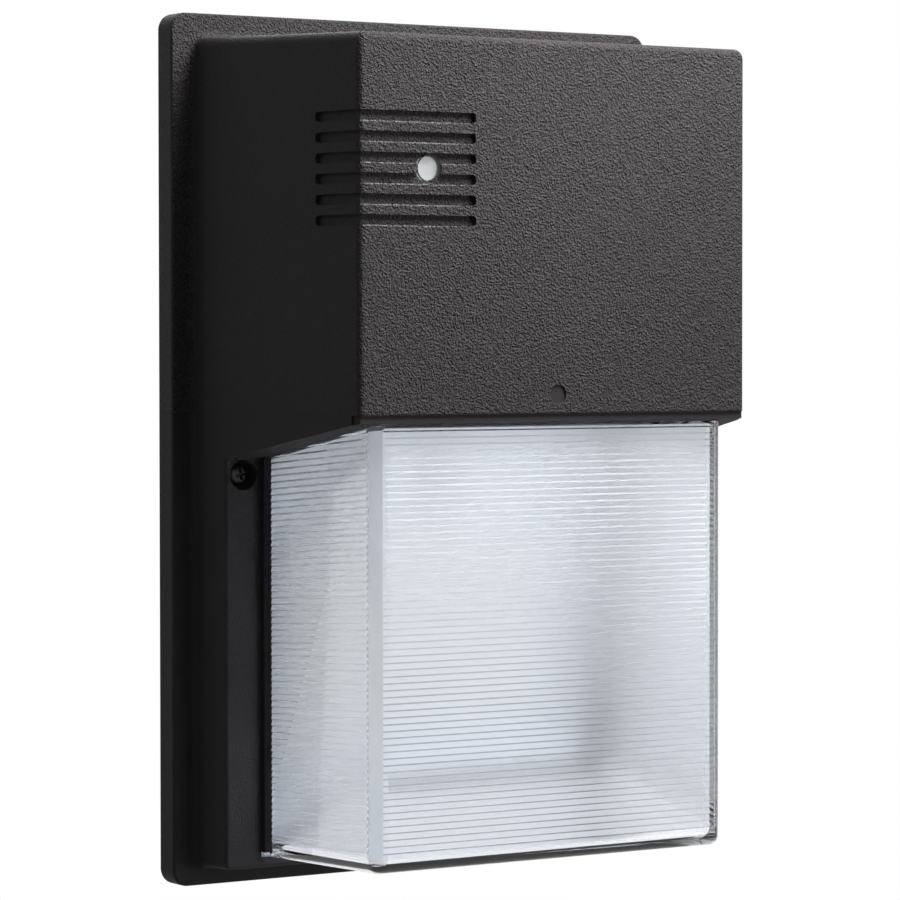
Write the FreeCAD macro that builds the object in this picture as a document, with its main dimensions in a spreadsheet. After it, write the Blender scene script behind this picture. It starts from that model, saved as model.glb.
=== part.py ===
"""Wall pack light: a die-cast hood over a clear prismatic lens, on a plate for an outlet box.

The wall is the plane Y = 0, the light faces -Y, +X is to the right seen from the front
and +Z is up. The origin is the middle of the flange, on the wall. "Depth" is the
distance from the wall, so a depth of 84 is Y = -84. All sizes are in millimetres.
"""
import FreeCAD, Part
import Sketcher
import math
import os
import re

Vector = FreeCAD.Vector
doc = FreeCAD.newDocument("wall_pack_light")
sheet = doc.addObject("Spreadsheet::Sheet", "sheet")

SIZES = {
    # flange and tapered box of the housing
    "flange_width": 173.0,
    "flange_height": 260.0,
    "flange_depth": 8.0,
    "flange_corner": 5.0,
    "flange_edge": 0.8,
    "side_margin": 7.6,        # flange edge to the root of the box, at the sides
    "top_margin": 7.3,         # the same above the box
    "bottom_margin": 5.9,      # the same below it
    "side_taper": 10.5,        # how far each side leans in from root to front
    "top_fall": 2.5,           # how far the top falls from root to front
    "hood_depth": 84.0,
    "ledge_depth": 22.7,
    "soffit_front": 9.3,       # height of the soffit at the hood's front
    "soffit_drop": 11.4,       # how much lower it is at the ledge
    "side_wall": 3.0,
    "bottom_wall": 2.0,
    "ledge_wall": 2.5,
    "top_corner": 3.0,
    "bottom_corner": 2.0,
    "front_edge": 2.0,
    "ledge_edge": 1.3,
    "root_fillet": 2.5,
    # lip round the hood's lower front edge
    "lip_height": 2.0,
    "lip_inset": 0.6,
    "lip_return": 3.6,
    # louvre slots round the left front corner
    "slot_count": 6,
    "slot_pitch": 5.92,
    "slot_height": 3.0,
    "slot_sink": 1.4,
    "slot_end": 1.0,
    "slot_drop": 24.6,         # box's top to the first slot
    "slot_front_reach": 39.6,  # right from the hood's side
    "slot_side_reach": 19.5,   # back from the front face
    # photocell window and the round dimple on the hood's front
    "eye_side": 23.7,          # hood's side to the middle of the eye, at the front
    "eye_drop": 40.8,          # box's top to the middle of the eye
    "eye_hole": 8.2,
    "dimple_size": 5.6,
    "dimple_rise": 7.65,       # above the soffit's front edge
    "dimple_sink": 0.5,
    # housing screws in their counterbores
    "screw_margin": 8.2,       # from the box's root width to the screw
    "screw_drop": 4.9,         # below the soffit at the ledge
    "head_recess": 9.2,
    "recess_depth": 4.2,
    "screw_web": 2.0,
    "screw_bore": 4.2,
    "boss_wall": 1.1,
    "retainer_bore": 7.5,
    "retainer_thickness": 1.0,
    "retainer_gap": 0.3,
    "screw_travel": 6.0,
    "travel_spare": 0.5,
    "boss_gap": 2.0,           # plate boss to the retainer
    "plate_boss": 9.4,
    # lens
    "lens_margin": 6.1,        # hood's side to the lens's side, at the front
    "lens_setback": 2.6,       # lens's front behind the hood's front
    "lens_floor": 2.8,         # box's underside to the lens's underside
    "lens_rise": 1.4,          # how far the lens's underside rises to its front
    "lens_draft": 0.2,
    "lens_wall": 2.6,
    "lens_corner": 3.0,
    "lens_clearance": 0.3,
    "window_gap": 2.6,
    "rim_overlap": 2.3,
    "rim_thickness": 2.5,
    "rim_rise": 3.1,
    "rim_foot": 0.7,
    "lens_seal": 1.2,
    "neck_rise": 2.1,          # gasket neck proud of the ledge
    "seal_foot": 2.0,
    # wall plate, its seal and its openings
    "plate_thickness": 2.0,
    "plate_land": 2.0,         # seal groove to the plate
    "plate_corner": 2.0,
    "fit_gap": 0.2,
    "seal_margin": 1.2,
    "seal_width": 3.0,
    "seal_depth": 2.0,
    "seal_gap": 0.1,
    "box_height": 55.0,        # middle of the outlet box pattern
    "box_spacing": 79.4,
    "box_slot_width": 4.8,
    "box_slot_length": 24.0,
    "wire_entry": 22.2,
    "anchor_x": 110.0,
    "anchor_z": 200.0,
    "anchor_hole": 5.5,
    "ground_x": 50.0,
    "ground_rise": 12.0,       # above the middle of the outlet box pattern
    "ground_boss": 8.0,
    "ground_height": 4.0,
    # reflector tray
    "tray_sheet": 0.8,
    "tray_side_gap": 1.3,
    "tray_bottom_gap": 0.5,
    "tray_over_post": 4.8,
    "pan_flare": 6.0,
    "pan_back": 8.0,           # depth of the pan's rear face
    "pan_top_gap": 5.9,        # soffit at the ledge to the pan's mouth
    "pan_side_gap": 4.3,       # lens's side to the pan's mouth
    "pan_lift": 5.0,           # lens's underside to the pan's mouth
    "post_radius": 2.5,
    "post_inset": 0.3,
    "post_low": 12.0,
    "post_mid": 38.0,          # below the housing screws
    "post_top_x": 40.0,
    "post_top_gap": 0.7,
    "post_root": 0.5,          # how far a post runs into the wall it stands on
    # LED board
    "board_side_gap": 6.0,
    "board_top_gap": 18.0,
    "board_bottom_gap": 2.0,
    "board_thickness": 1.6,
    "pad_thickness": 0.5,
    "board_screw_inset": 4.5,
    "chip_columns": 6,
    "chip_rows": 5,
    "chip_width": 2.8,
    "chip_height": 3.5,
    "chip_thickness": 0.7,
    "chip_side_gap": 13.5,
    "chip_top_gap": 20.0,
    "chip_bottom_gap": 12.0,
    "connector_width": 11.0,
    "connector_height": 8.0,
    "connector_thickness": 4.5,
    "connector_inset": 1.5,
    "connector_socket": 4.5,
    "bushing_drop": 9.0,       # pan floor's top to the bushing
    "bushing_hole": 9.0,
    "bushing_wall": 1.5,
    "bushing_lip": 1.2,
    # driver
    "driver_width": 90.0,
    "driver_height": 40.0,
    "driver_body": 24.0,
    "driver_lid": 2.0,
    "driver_rise": 35.7,       # soffit's front edge to the driver's middle
    "driver_setback": 28.0,    # hood's front to the driver's mounting face
    "driver_wall": 1.8,
    "ear_length": 9.0,
    "ear_width": 14.0,
    "ear_thickness": 2.5,
    "ear_screw": 5.0,
    "driver_post": 4.0,
    # photocell
    "cell_size": 20.0,
    "cell_length": 17.0,
    "cell_seat": 0.5,
    "nose_size": 7.8,
    "nose_back": 2.6,
    "window_thickness": 1.0,
    "window_sink": 0.3,
    "window_play": 0.1,
    "sensor_thickness": 0.6,
    "sensor_size": 6.8,
    "strap_span": 28.0,
    "strap_width": 9.0,
    "strap_end": 4.0,
    "strap_sheet": 1.0,
    "strap_post": 3.0,
    # screws
    "head_size": 6.6,
    "head_height": 2.4,
    "shank_size": 3.5,
    "shank_end": 0.5,          # depth of the housing screw's tip
    "thread_gap": 0.05,
    "small_head": 5.4,
    "small_head_height": 1.9,
    "small_shank": 2.9,
    "tip_chamfer": 0.4,
    "cross_span": 3.4,
    "cross_width": 0.9,
    "cross_depth": 1.3,
    "tray_bite": 3.5,
    "board_bite": 2.0,
    "driver_bite": 7.0,
    "strap_bite": 6.0,
    "ground_bite": 4.5,
    "hole_spare": 1.0,
    # leads and what they end in
    "lead_size": 1.8,
    "lead_gap": 0.15,
    "lead_pitch": 2.7,
    "nut_size": 12.0,
    "nut_tip": 7.2,
    "nut_height": 22.0,
    "nut_skirt": 6.6,
    "nut_drop": 30.7,          # box's top to the mouths
    "nut_depth": 16.0,
    "nut_step": 24.0,
    "nut_bore": 8.0,
    "nut_bore_depth": 14.0,
    "terminal_sheet": 1.0,
    "terminal_ring": 7.8,
    "terminal_tail": 3.2,
    "barrel_wall": 0.7,
    "barrel_length": 6.0,
}

for row, (alias, value) in enumerate(SIZES.items(), start=1):
    sheet.set("A%d" % row, alias)
    sheet.set("B%d" % row, str(value))
    sheet.setAlias("B%d" % row, alias)
doc.recompute()

# Sizes and places that follow from the driving ones.
DERIVED = {
    "root_half": "(flange_width / 2 - side_margin)",
    "front_half": "(root_half - side_taper)",
    "box_top": "(flange_height / 2 - top_margin)",
    "box_bottom": "(flange_height / 2 - bottom_margin)",
    "side_slope": "(side_taper / (hood_depth - flange_depth))",
    "top_slope": "(top_fall / (hood_depth - flange_depth))",
    "soffit_slope": "(soffit_drop / (hood_depth - ledge_depth))",
    "soffit_ledge": "(soffit_front - soffit_drop)",
    "ledge_inner": "(ledge_depth - ledge_wall)",
    "front_inner": "(hood_depth - side_wall)",
    "slot_front_end": "(front_half - slot_front_reach)",
    "slot_top": "(box_top - slot_drop)",
    "eye_left": "(front_half - eye_side)",
    "eye_height": "(box_top - eye_drop)",
    "screw_x": "(root_half - screw_margin)",
    "screw_z": "(soffit_ledge - screw_drop)",
    "boss_radius": "(head_recess / 2 + boss_wall)",
    "notch_radius": "(boss_radius + lens_clearance)",
    "screw_seat": "(ledge_depth - recess_depth)",
    "web_back": "(screw_seat - screw_web)",
    "retainer_back": "(web_back - screw_travel - retainer_thickness - travel_spare)",
    "boss_meet": "(retainer_back - boss_gap)",
    "lens_half": "(front_half - lens_margin)",
    "lens_front": "(hood_depth - lens_setback)",
    "lens_bottom": "(box_bottom - lens_floor)",
    "window_half": "(lens_half + window_gap)",
    "rim_half": "(window_half + rim_overlap)",
    "rim_top": "(soffit_ledge + rim_rise)",
    "rim_front": "(ledge_inner - lens_seal)",
    "rim_back": "(rim_front - rim_thickness)",
    "cavity_half": "(root_half + side_slope * flange_depth - side_wall)",
    "plate_half_x": "(flange_width / 2 - seal_margin - seal_width - plate_land)",
    "plate_half_z": "(flange_height / 2 - seal_margin - seal_width - plate_land)",
    "ground_z": "(box_height + ground_rise)",
    "ground_face": "(plate_thickness + ground_height)",
    "post_x": "(screw_x - post_inset)",
    "post_mid_z": "(screw_z - post_mid)",
    "post_low_z": "(post_low - box_bottom)",
    "post_top_z": "(rim_top + post_top_gap + post_radius)",
    "tray_half": "(cavity_half - side_slope * rim_back - tray_side_gap)",
    "tray_low": "(bottom_wall + tray_bottom_gap - box_bottom)",
    "tray_high": "(post_top_z + tray_over_post)",
    "pan_side": "(lens_half - pan_side_gap)",
    "pan_high": "(soffit_ledge - pan_top_gap)",
    "pan_low": "(pan_lift - lens_bottom)",
    "pan_floor": "(pan_back + tray_sheet)",
    "board_half": "(pan_side - pan_flare - board_side_gap)",
    "board_high": "(pan_high - pan_flare - board_top_gap)",
    "board_low": "(pan_low + pan_flare + board_bottom_gap)",
    "board_back": "(pan_floor + pad_thickness)",
    "board_face": "(board_back + board_thickness)",
    "connector_top": "(board_high - connector_inset)",
    "connector_middle": "(board_face + connector_thickness / 2)",
    "bushing_z": "(pan_high - pan_flare - bushing_drop)",
    "driver_z": "(soffit_front + driver_rise)",
    "driver_front": "(hood_depth - driver_setback)",
    "driver_back": "(driver_front - driver_body)",
    "driver_low": "(driver_z - driver_height / 2)",
    "driver_high": "(driver_z + driver_height / 2)",
    "ear_x": "(driver_width / 2 + ear_screw)",
    "cell_front": "(front_inner - cell_seat)",
    "cell_back": "(cell_front - cell_length)",
    "sensor_face": "(hood_depth - nose_back)",
    "nut_mouth": "(box_top - nut_drop)",
    "barrel_depth": "(ground_face + lead_size / 2 + barrel_wall)",
    "thread_radius": "(small_shank / 2 + thread_gap)",
    "clear_radius": "(small_shank / 2 + fit_gap)",
}

WORD = re.compile(r"[a-z_]+[a-z_0-9]*")


def full(text):
    """Spell out the derived names in an expression and point the rest at the sheet's cells."""
    text = str(text)
    while any(word in DERIVED for word in WORD.findall(text)):
        text = WORD.sub(lambda found: DERIVED.get(found.group(0), found.group(0)), text)

    def cell(found):
        word = found.group(0)
        return "sheet." + word if word in SIZES else word

    return WORD.sub(cell, text)


def size(text):
    """The present value of an expression, as a plain number."""
    result = sheet.evalExpression(full(text))
    return float(getattr(result, "Value", result))


def point(x, depth, z):
    """A point given by expressions for its X, its depth from the wall and its height."""
    return Vector(size(x), -size(depth), size(z))


# ---------------------------------------------------------------- sketches

def new_body(name):
    body = doc.addObject("PartDesign::Body", name)
    body.Label = name
    return body


def new_sketch(body, role, offset="0"):
    """A sketch on one of the body's own origin planes, moved along the plane's normal.

    XZ_Plane faces -Y, so its offset is a depth. YZ_Plane faces +X, XY_Plane faces +Z.
    """
    planes = [item for item in body.Origin.OriginFeatures if item.Role == role]
    sketch = body.newObject("Sketcher::SketchObject", body.Name + "_sketch")
    sketch.AttachmentSupport = (planes[0], [""])
    sketch.MapMode = "FlatFace"
    sketch.setExpression(".AttachmentOffset.Base.z", full(offset))
    return sketch


def pin_point(sketch, geometry, end, x, y):
    """Hold one point of a sketch at expressions measured from the sketch's origin."""
    for kind, text in (("DistanceX", x), ("DistanceY", y)):
        value = size(text)
        if abs(value) < 1e-9:
            axis = -2 if kind == "DistanceX" else -1
            sketch.addConstraint(Sketcher.Constraint("PointOnObject", geometry, end, axis))
        elif value > 0:
            index = sketch.addConstraint(Sketcher.Constraint(kind, -1, 1, geometry, end, value))
            sketch.setExpression("Constraints[%d]" % index, full(text))
        else:
            index = sketch.addConstraint(Sketcher.Constraint(kind, geometry, end, -1, 1, -value))
            sketch.setExpression("Constraints[%d]" % index, full("-(%s)" % text))


def set_radius(sketch, geometry, radius):
    index = sketch.addConstraint(Sketcher.Constraint("Radius", geometry, size(radius)))
    sketch.setExpression("Constraints[%d]" % index, full(radius))


def polygon(sketch, corners):
    """A closed outline through corners given as pairs of expressions."""
    places = [Vector(size(x), size(y), 0) for x, y in corners]
    lines = []
    for start, stop in zip(places, places[1:] + places[:1]):
        lines.append(sketch.addGeometry(Part.LineSegment(start, stop), False))
    for line, following in zip(lines, lines[1:] + lines[:1]):
        sketch.addConstraint(Sketcher.Constraint("Coincident", line, 2, following, 1))
    for line, (x, y) in zip(lines, corners):
        pin_point(sketch, line, 1, x, y)


def rectangle(sketch, left, right, low, high):
    polygon(sketch, [(left, low), (right, low), (right, high), (left, high)])


def wide_rectangle(sketch, half, low, high):
    """A rectangle that reaches as far to the left as to the right."""
    rectangle(sketch, "-(%s)" % half, half, low, high)


def circle(sketch, x, y, radius):
    shape = Part.Circle(Vector(size(x), size(y), 0), Vector(0, 0, 1), size(radius))
    ring = sketch.addGeometry(shape, False)
    pin_point(sketch, ring, 3, x, y)
    set_radius(sketch, ring, radius)


def corner_arc(sketch, x, y, radius, start, sweep):
    """An arc round a centre held at expressions, from a start angle in degrees."""
    ring = Part.Circle(Vector(size(x), size(y), 0), Vector(0, 0, 1), size(radius))
    first = math.radians(start)
    arc = sketch.addGeometry(Part.ArcOfCircle(ring, first, first + math.radians(sweep)), False)
    pin_point(sketch, arc, 3, x, y)
    set_radius(sketch, arc, radius)
    return arc


def join_arcs(sketch, arcs):
    """Straight lines, tangent at both ends, from each arc to the next."""
    for arc, following in zip(arcs, arcs[1:] + arcs[:1]):
        begin = sketch.Geometry[arc].EndPoint
        finish = sketch.Geometry[following].StartPoint
        line = sketch.addGeometry(Part.LineSegment(begin, finish), False)
        sketch.addConstraint(Sketcher.Constraint("Tangent", arc, 2, line, 1))
        sketch.addConstraint(Sketcher.Constraint("Tangent", line, 2, following, 1))


def rounded_rectangle(sketch, half_x, half_y, radius):
    """A rectangle round the sketch's origin with rounded corners."""
    reach_x = "((%s) - (%s))" % (half_x, radius)
    reach_y = "((%s) - (%s))" % (half_y, radius)
    arcs = []
    for sign_x, sign_y, start in (("", "", 0), ("-", "", 90), ("-", "-", 180), ("", "-", 270)):
        arcs.append(corner_arc(sketch, sign_x + reach_x, sign_y + reach_y, radius, start, 90))
    join_arcs(sketch, arcs)


def slot_outline(sketch, x, y, upright):
    """A slot for the outlet box's screws, with round ends."""
    radius = "box_slot_width / 2"
    reach = "(box_slot_length / 2 - box_slot_width / 2)"
    if upright:
        arcs = [corner_arc(sketch, x, "%s + %s" % (y, reach), radius, 0, 180),
                corner_arc(sketch, x, "%s - %s" % (y, reach), radius, 180, 180)]
    else:
        arcs = [corner_arc(sketch, "%s + %s" % (x, reach), y, radius, -90, 180),
                corner_arc(sketch, "%s - %s" % (x, reach), y, radius, 90, 180)]
    join_arcs(sketch, arcs)


# ---------------------------------------------------------------- features

def settle(body, feature, grows):
    """Recompute and make sure that the feature really added or removed material."""
    before = 0.0 if body.Shape.isNull() else body.Shape.Volume
    doc.recompute()
    change = body.Shape.Volume - before
    if (change <= 0) == grows:
        raise ValueError("%s in %s changed the volume by %.3f" % (feature.Name, body.Name, change))
    return feature


def pad(body, sketch, length):
    feature = body.newObject("PartDesign::Pad", body.Name + "_pad")
    feature.Profile = sketch
    feature.setExpression("Length", full(length))
    return settle(body, feature, True)


def pocket(body, sketch, length, outward=False):
    """Cut into the body against the sketch's normal, or along it if outward."""
    feature = body.newObject("PartDesign::Pocket", body.Name + "_pocket")
    feature.Profile = sketch
    feature.Reversed = outward
    feature.setExpression("Length", full(length))
    return settle(body, feature, False)


def taper(body, back, front, adds=True):
    """A straight-sided solid between two rectangles, each (depth, half width, low, high)."""
    sections = []
    for depth, half, low, high in (back, front):
        sketch = new_sketch(body, "XZ_Plane", depth)
        wide_rectangle(sketch, half, low, high)
        sections.append(sketch)
    kind = "PartDesign::AdditiveLoft" if adds else "PartDesign::SubtractiveLoft"
    feature = body.newObject(kind, body.Name + "_loft")
    feature.Profile = sections[0]
    feature.Sections = [sections[1]]
    feature.Ruled = True
    return settle(body, feature, adds)


def round_edges(body, places, radius):
    """Round the edges that pass through the given points."""
    base = body.Tip
    names = []
    for place in places:
        corner = Part.Vertex(place)
        found = ["Edge%d" % number for number, edge in enumerate(base.Shape.Edges, start=1)
                 if edge.distToShape(corner)[0] < 0.01]
        if not found:
            raise ValueError("%s has no edge at %s" % (body.Name, place))
        names += found
    feature = body.newObject("PartDesign::Fillet", body.Name + "_fillet")
    feature.Base = (base, names)
    feature.setExpression("Radius", full(radius))
    doc.recompute()
    if "Invalid" in feature.State or feature.Shape.isNull():
        raise ValueError("%s: edges can't be rounded by %s" % (body.Name, radius))


def studs(body, start, end, places, radius):
    """Round posts or bosses between two depths."""
    sketch = new_sketch(body, "XZ_Plane", start)
    for x, z in places:
        circle(sketch, x, z, radius)
    pad(body, sketch, "%s - (%s)" % (end, start))


def drill(body, start, end, places, radius):
    """Round holes between two depths, cut away from the wall."""
    sketch = new_sketch(body, "XZ_Plane", start)
    for x, z in places:
        circle(sketch, x, z, radius)
    pocket(body, sketch, "%s - (%s)" % (end, start), outward=True)


def pair(x, z):
    """The same place on the left and on the right."""
    return [("-(%s)" % x, z), (x, z)]


def both_sides(*places):
    """Each point and its mirror image across the YZ plane."""
    mirrored = []
    for place in places:
        mirrored.append(place)
        mirrored.append(Vector(-place.x, place.y, place.z))
    return mirrored


def half_at(depth):
    """Half the box's outer width at a depth."""
    return "(root_half - side_slope * (%s - flange_depth))" % depth


def top_at(depth):
    return "(box_top - top_slope * (%s - flange_depth))" % depth


def soffit_at(depth):
    return "(soffit_ledge + soffit_slope * (%s - ledge_depth))" % depth


def tray_post_places():
    return pair("post_x", "post_mid_z") + pair("post_x", "post_low_z") + pair("post_top_x", "post_top_z")


def ear_places():
    return pair("ear_x", "driver_z")


def strap_places():
    return [("-eye_left - strap_span / 2", "eye_height"), ("strap_span / 2 - eye_left", "eye_height")]


# ---------------------------------------------------------------- housing

def housing_outside(body):
    """Flange, then the low box behind the ledge with its rounded edges, then the hood."""
    flange = new_sketch(body, "XZ_Plane")
    rounded_rectangle(flange, "flange_width / 2", "flange_height / 2", "flange_corner")
    pad(body, flange, "flange_depth")
    low_top = "soffit_ledge + rim_rise"
    taper(body, ("flange_depth", "root_half", "-box_bottom", low_top),
          ("ledge_depth", half_at("ledge_depth"), "-box_bottom", low_top))
    middle = "((flange_depth + ledge_depth) / 2)"
    round_edges(body, both_sides(point(half_at(middle), middle, "-box_bottom")), "bottom_corner")
    edges = both_sides(point(half_at("ledge_depth"), "ledge_depth", "-box_bottom / 2"))
    edges.append(point("0", "ledge_depth", "-box_bottom"))
    round_edges(body, edges, "ledge_edge")
    taper(body, ("flange_depth", "root_half", soffit_at("flange_depth"), "box_top"),
          ("hood_depth", "front_half", "soffit_front", "box_top - top_fall"))


def housing_edges(body):
    """Round the hood's corners and front edges, the inside corner at the root and the flange."""
    middle = "(hood_depth / 2)"
    round_edges(body, both_sides(point(half_at(middle), middle, top_at(middle))), "top_corner")
    front = both_sides(point("front_half", "hood_depth", "(soffit_front + box_top) / 2"))
    front.append(point("0", "hood_depth", "box_top - top_fall"))
    round_edges(body, front, "front_edge")
    root = both_sides(point("root_half", "flange_depth", "box_top / 2"))
    root.append(point("0", "flange_depth", "box_top"))
    root.append(point("0", "flange_depth", "-box_bottom"))
    round_edges(body, root, "root_fillet")
    rim = [point("flange_width / 2", "flange_depth", "0")]
    round_edges(body, rim, "flange_edge")


def housing_cavities(body):
    """The hood's chamber, the chamber behind the ledge, the plate's seat and the lens window.

    The soffit slopes, so its wall is measured upright and comes out a little thinner.
    """
    def chamber(start, end, low, high):
        taper(body, (start, half_at(start) + " - side_wall", low(start), high(start)),
              (end, half_at(end) + " - side_wall", low(end), high(end)), adds=False)

    chamber("0", "front_inner", lambda depth: soffit_at(depth) + " + side_wall",
            lambda depth: top_at(depth) + " - side_wall")
    chamber("0", "ledge_inner", lambda depth: "bottom_wall - box_bottom",
            lambda depth: "soffit_ledge + side_wall + lens_clearance")
    seat = new_sketch(body, "XZ_Plane")
    rounded_rectangle(seat, "plate_half_x + fit_gap", "plate_half_z + fit_gap", "plate_corner + fit_gap")
    pocket(body, seat, "plate_thickness", outward=True)
    window = new_sketch(body, "XZ_Plane", "ledge_inner")
    wide_rectangle(window, "window_half", "-(lens_bottom + lens_clearance)", "soffit_ledge")
    pocket(body, window, "ledge_wall", outward=True)


def seal_ring(body, outer_inset, inner_inset):
    """A ring that follows the flange's outline between two insets."""
    ring = new_sketch(body, "XZ_Plane")
    for inset in (outer_inset, inner_inset):
        rounded_rectangle(ring, "flange_width / 2 - (%s)" % inset, "flange_height / 2 - (%s)" % inset,
                          "flange_corner - (%s)" % inset)
    return ring


def housing_posts(body):
    """Screw bosses behind the ledge, then posts for the tray, the driver and the photocell."""
    studs(body, "boss_meet", "ledge_inner + post_root", pair("screw_x", "screw_z"), "boss_radius")
    side_posts = pair("post_x", "post_mid_z") + pair("post_x", "post_low_z")
    studs(body, "rim_back", "ledge_inner + post_root", side_posts, "post_radius")
    climb = "(post_top_z - post_radius - soffit_ledge - side_wall / 2)"
    studs(body, "rim_back", "ledge_depth + %s / soffit_slope" % climb,
          pair("post_top_x", "post_top_z"), "post_radius")
    studs(body, "driver_front", "front_inner + post_root", ear_places(), "driver_post")
    studs(body, "cell_back", "front_inner + post_root", strap_places(), "strap_post")
    studs(body, "cell_front", "front_inner + post_root", [("-eye_left", "eye_height")], "cell_size / 2")


def housing_holes(body):
    """Counterbores, screw bores, blind screw holes in the posts and the photocell's hole."""
    screws = pair("screw_x", "screw_z")
    drill(body, "screw_seat", "ledge_depth", screws, "head_recess / 2")
    drill(body, "boss_meet", "web_back", screws, "retainer_bore / 2")
    drill(body, "web_back", "screw_seat", screws, "screw_bore / 2")
    drill(body, "rim_back", "rim_back + tray_bite + hole_spare", tray_post_places(), "thread_radius")
    drill(body, "driver_front", "driver_front + driver_bite + hole_spare", ear_places(), "thread_radius")
    drill(body, "cell_back", "cell_back + strap_bite + hole_spare", strap_places(), "thread_radius")
    drill(body, "cell_front", "hood_depth", [("-eye_left", "eye_height")], "eye_hole / 2")
    drill(body, "hood_depth - dimple_sink", "hood_depth", [("0", "soffit_front + dimple_rise")],
          "dimple_size / 2")


def housing_lip(body):
    """The hood's front edge steps in a little above its lower edge."""
    lip = new_sketch(body, "XY_Plane", "soffit_front + lip_height")
    back = "-(hood_depth - lip_return)"
    front = "-(hood_depth - lip_inset)"
    beyond = "-(hood_depth + lip_inset)"
    side = "(%s - lip_inset)" % half_at("(hood_depth - lip_return)")
    inner = "(front_half - lip_inset)"
    polygon(lip, [
        ("-root_half", back), ("-" + side, back), ("-" + inner, front),
        (inner, front), (side, back), ("root_half", back),
        ("root_half", beyond), ("-root_half", beyond),
    ])
    pocket(body, lip, "lip_height + side_wall")


def housing_slots(body):
    """Shallow louvre slots that run from the front face round the left corner onto the side."""
    slot = new_sketch(body, "XY_Plane", "slot_top")
    front = "(hood_depth - slot_sink)"
    back = "(hood_depth - slot_side_reach)"
    beyond = "-(hood_depth + slot_sink)"
    polygon(slot, [
        ("-slot_front_end", beyond), ("-slot_front_end", "-" + front),
        ("-(%s - slot_sink)" % half_at(front), "-" + front),
        ("-(%s - slot_sink)" % half_at(back), "-" + back),
        ("-root_half", "-" + back), ("-root_half", beyond),
    ])
    first = pocket(body, slot, "slot_height")
    row = body.newObject("PartDesign::LinearPattern", body.Name + "_slot_row")
    row.Originals = [first]
    row.Direction = (slot, ["N_Axis"])
    row.Reversed = True
    row.setExpression("Length", full("slot_pitch * (slot_count - 1)"))
    row.setExpression("Occurrences", full("slot_count"))
    body.Tip = row
    settle(body, row, False)
    ends = []
    for number in range(int(size("slot_count"))):
        for edge in ("slot_top", "slot_top - slot_height"):
            z = "%s - %d * slot_pitch" % (edge, number)
            ends.append(point("-slot_front_end", "hood_depth - slot_sink / 2", z))
            ends.append(point("-(%s - slot_sink / 2)" % half_at(back), back, z))
    round_edges(body, ends, "slot_end")


def make_housing():
    body = new_body("housing")
    housing_outside(body)
    housing_edges(body)
    housing_cavities(body)
    groove = seal_ring(body, "seal_margin", "seal_margin + seal_width")
    pocket(body, groove, "seal_depth", outward=True)
    housing_posts(body)
    housing_holes(body)
    housing_lip(body)
    housing_slots(body)
    return body


# ---------------------------------------------------------------- lens and seals

def lens_low(depth):
    """Height of the lens's underside at a depth."""
    return "(lens_rise * (%s - ledge_depth) / (lens_front - ledge_depth) - lens_bottom)" % depth


def lens_high(depth):
    return "(%s - lens_clearance)" % soffit_at(depth)


def lens_side(depth):
    return "(lens_half - lens_draft * (%s - rim_back) / (lens_front - rim_back))" % depth


def make_lens():
    """A square bowl that opens towards the wall, with a rim behind the ledge."""
    body = new_body("lens")
    rim = new_sketch(body, "XZ_Plane", "rim_back")
    wide_rectangle(rim, "rim_half", "-(lens_bottom + rim_foot)", "rim_top")
    pad(body, rim, "rim_thickness")

    def bowl(end, wall, adds):
        sections = []
        for depth in ("rim_back", end):
            sections.append((depth, "%s - %s" % (lens_side(depth), wall),
                             "%s + %s" % (lens_low(depth), wall), "%s - %s" % (lens_high(depth), wall)))
        taper(body, sections[0], sections[1], adds)

    bowl("lens_front", "0", True)
    middle = "((ledge_depth + lens_front) / 2)"
    round_edges(body, both_sides(point(lens_side(middle), middle, lens_low(middle))), "lens_corner")
    front = both_sides(point(lens_side("lens_front"), "lens_front", "-lens_bottom / 2"))
    front.append(point("0", "lens_front", lens_low("lens_front")))
    round_edges(body, front, "lens_corner")
    bowl("(lens_front - lens_wall)", "lens_wall", False)
    drill(body, "rim_back", "rim_front", pair("screw_x", "screw_z"), "notch_radius")
    return body


def make_lens_gasket():
    """Black silicone gasket, open at the bottom.

    A flat strip lies between the lens rim and the ledge, and a neck on each side fills
    the gap between the lens and the window and stands a little proud of the ledge.
    """
    body = new_body("lens_gasket")
    strip = new_sketch(body, "XZ_Plane", "rim_front")
    low = "seal_foot - lens_bottom"
    polygon(strip, [
        ("-rim_half", low), ("-window_half", low), ("-window_half", "soffit_ledge"),
        ("window_half", "soffit_ledge"), ("window_half", low), ("rim_half", low),
        ("rim_half", "rim_top"), ("-rim_half", "rim_top"),
    ])
    pad(body, strip, "lens_seal")
    necks = new_sketch(body, "XZ_Plane", "rim_front")
    rectangle(necks, "-window_half", "-lens_half", low, "soffit_ledge")
    rectangle(necks, "lens_half", "window_half", low, "soffit_ledge")
    pad(body, necks, "ledge_depth + neck_rise - rim_front")
    drill(body, "rim_front", "ledge_inner", pair("screw_x", "screw_z"), "notch_radius")
    return body


def make_wall_gasket():
    """Foam ring that fills the groove in the flange's back."""
    body = new_body("wall_gasket")
    ring = seal_ring(body, "seal_margin + seal_gap", "seal_margin + seal_width - seal_gap")
    pad(body, ring, "seal_depth")
    return body


# ---------------------------------------------------------------- wall plate

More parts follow.
